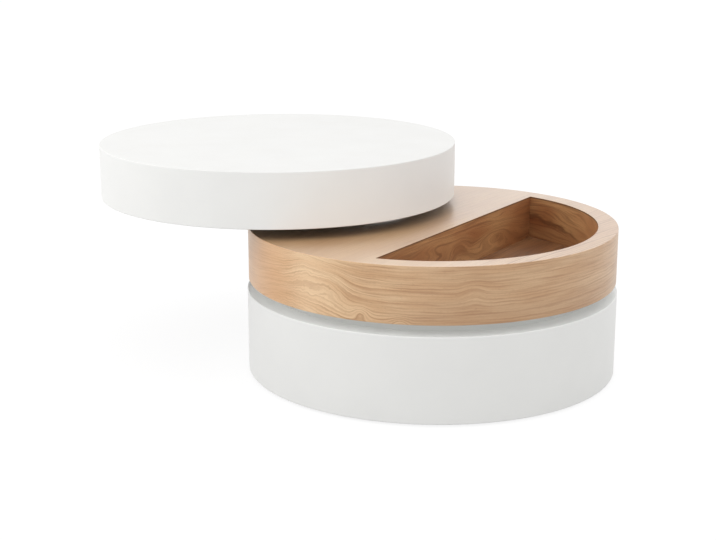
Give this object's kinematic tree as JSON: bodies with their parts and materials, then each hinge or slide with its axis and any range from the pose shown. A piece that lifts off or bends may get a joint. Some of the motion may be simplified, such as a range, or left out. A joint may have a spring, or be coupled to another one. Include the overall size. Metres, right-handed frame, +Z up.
{
  "type": "swivel coffee table",
  "caption": "Round coffee table of three stacked drums: the white top swings aside on a swivel to open a D-shaped storage compartment in the oak drum, which turns on a white base.",
  "frame": {"origin": "on the floor under the base's centre, on the underside of the middle glide, with the top swung fully open", "axes": "+X from the base's axis to the storage compartment, so the open top lies towards -X; +Z up; +Y to the left of someone who looks along +X"},
  "size_m": [1.0635, 0.71, 0.409],
  "materials": {
    "white_lacquer": "fibreboard with satin white lacquer",
    "oak_veneer": "light oak veneer, matt lacquer",
    "brown_veneer": "brown veneer, matt lacquer",
    "fibreboard": "raw fibreboard",
    "pressed_steel": "zinc-plated sheet",
    "ball_steel": "polished",
    "zinc_fasteners": "bright zinc",
    "nylon": "natural nylon",
    "glide_plastic": "matt"
  },
  "bodies": {
    "base": {"base_bottom_panel": "white_lacquer", "base_hoop": "white_lacquer", "base_top_panel": "white_lacquer", "base_plinth_ring": "white_lacquer", "base_pivot_block": "fibreboard", "base_long_rib": "fibreboard", "base_cross_rib": "fibreboard", "base_glides": "glide_plastic", "glide_nails": "zinc_fasteners", "base_panel_screws": "zinc_fasteners", "lower_swivel_bottom_plate": "pressed_steel", "lower_swivel_rivet": "pressed_steel", "lower_swivel_washer": "nylon", "lower_plate_bolts": "zinc_fasteners", "lower_plate_nuts": "zinc_fasteners"},
    "lower_cage": {"lower_ball_cage": "pressed_steel", "lower_swivel_balls": "ball_steel"},
    "drum": {"lower_swivel_top_plate": "pressed_steel", "lower_plate_screws": "zinc_fasteners", "drum_bottom_panel": "white_lacquer", "drum_hoop": "fibreboard", "drum_top_panel": "fibreboard", "drum_top_veneer": "oak_veneer", "drum_side_veneer": "oak_veneer", "drum_divider": "fibreboard", "compartment_facing": "brown_veneer", "compartment_liner": "brown_veneer", "compartment_floor": "brown_veneer", "drum_left_rib": "fibreboard", "drum_right_rib": "fibreboard", "drum_pivot_block": "fibreboard", "drum_panel_screws": "zinc_fasteners", "upper_swivel_bottom_plate": "pressed_steel", "upper_swivel_rivet": "pressed_steel", "upper_swivel_washer": "nylon", "upper_plate_bolts": "zinc_fasteners", "upper_plate_nuts": "zinc_fasteners"},
    "upper_cage": {"upper_ball_cage": "pressed_steel", "upper_swivel_balls": "ball_steel"},
    "top": {"upper_swivel_top_plate": "pressed_steel", "upper_plate_screws": "zinc_fasteners", "top_bottom_panel": "white_lacquer", "top_hoop": "white_lacquer", "top_face_panel": "white_lacquer", "top_pivot_block": "fibreboard", "top_long_rib": "fibreboard", "top_cross_rib": "fibreboard"}
  },
  "joints": [
    {"name": "lower_swivel", "type": "hinge", "parent": "base", "child": "drum", "pos_m": [0, 0, 0.171], "axis": [0, 0, 1], "continuous": true},
    {"name": "lower_cage_turn", "type": "hinge", "parent": "base", "child": "lower_cage", "pos_m": [0, 0, 0.171], "axis": [0, 0, 1], "continuous": true},
    {"name": "upper_swivel", "type": "hinge", "parent": "drum", "child": "top", "pos_m": [-0.178, 0, 0.294], "axis": [0, 0, 1], "continuous": true},
    {"name": "upper_cage_turn", "type": "hinge", "parent": "drum", "child": "upper_cage", "pos_m": [-0.178, 0, 0.294], "axis": [0, 0, 1], "continuous": true}
  ],
  "couplings": [
    {"joint": "lower_cage_turn", "follows": "lower_swivel", "ratio": 0.5},
    {"joint": "upper_cage_turn", "follows": "upper_swivel", "ratio": 0.5}
  ]
}
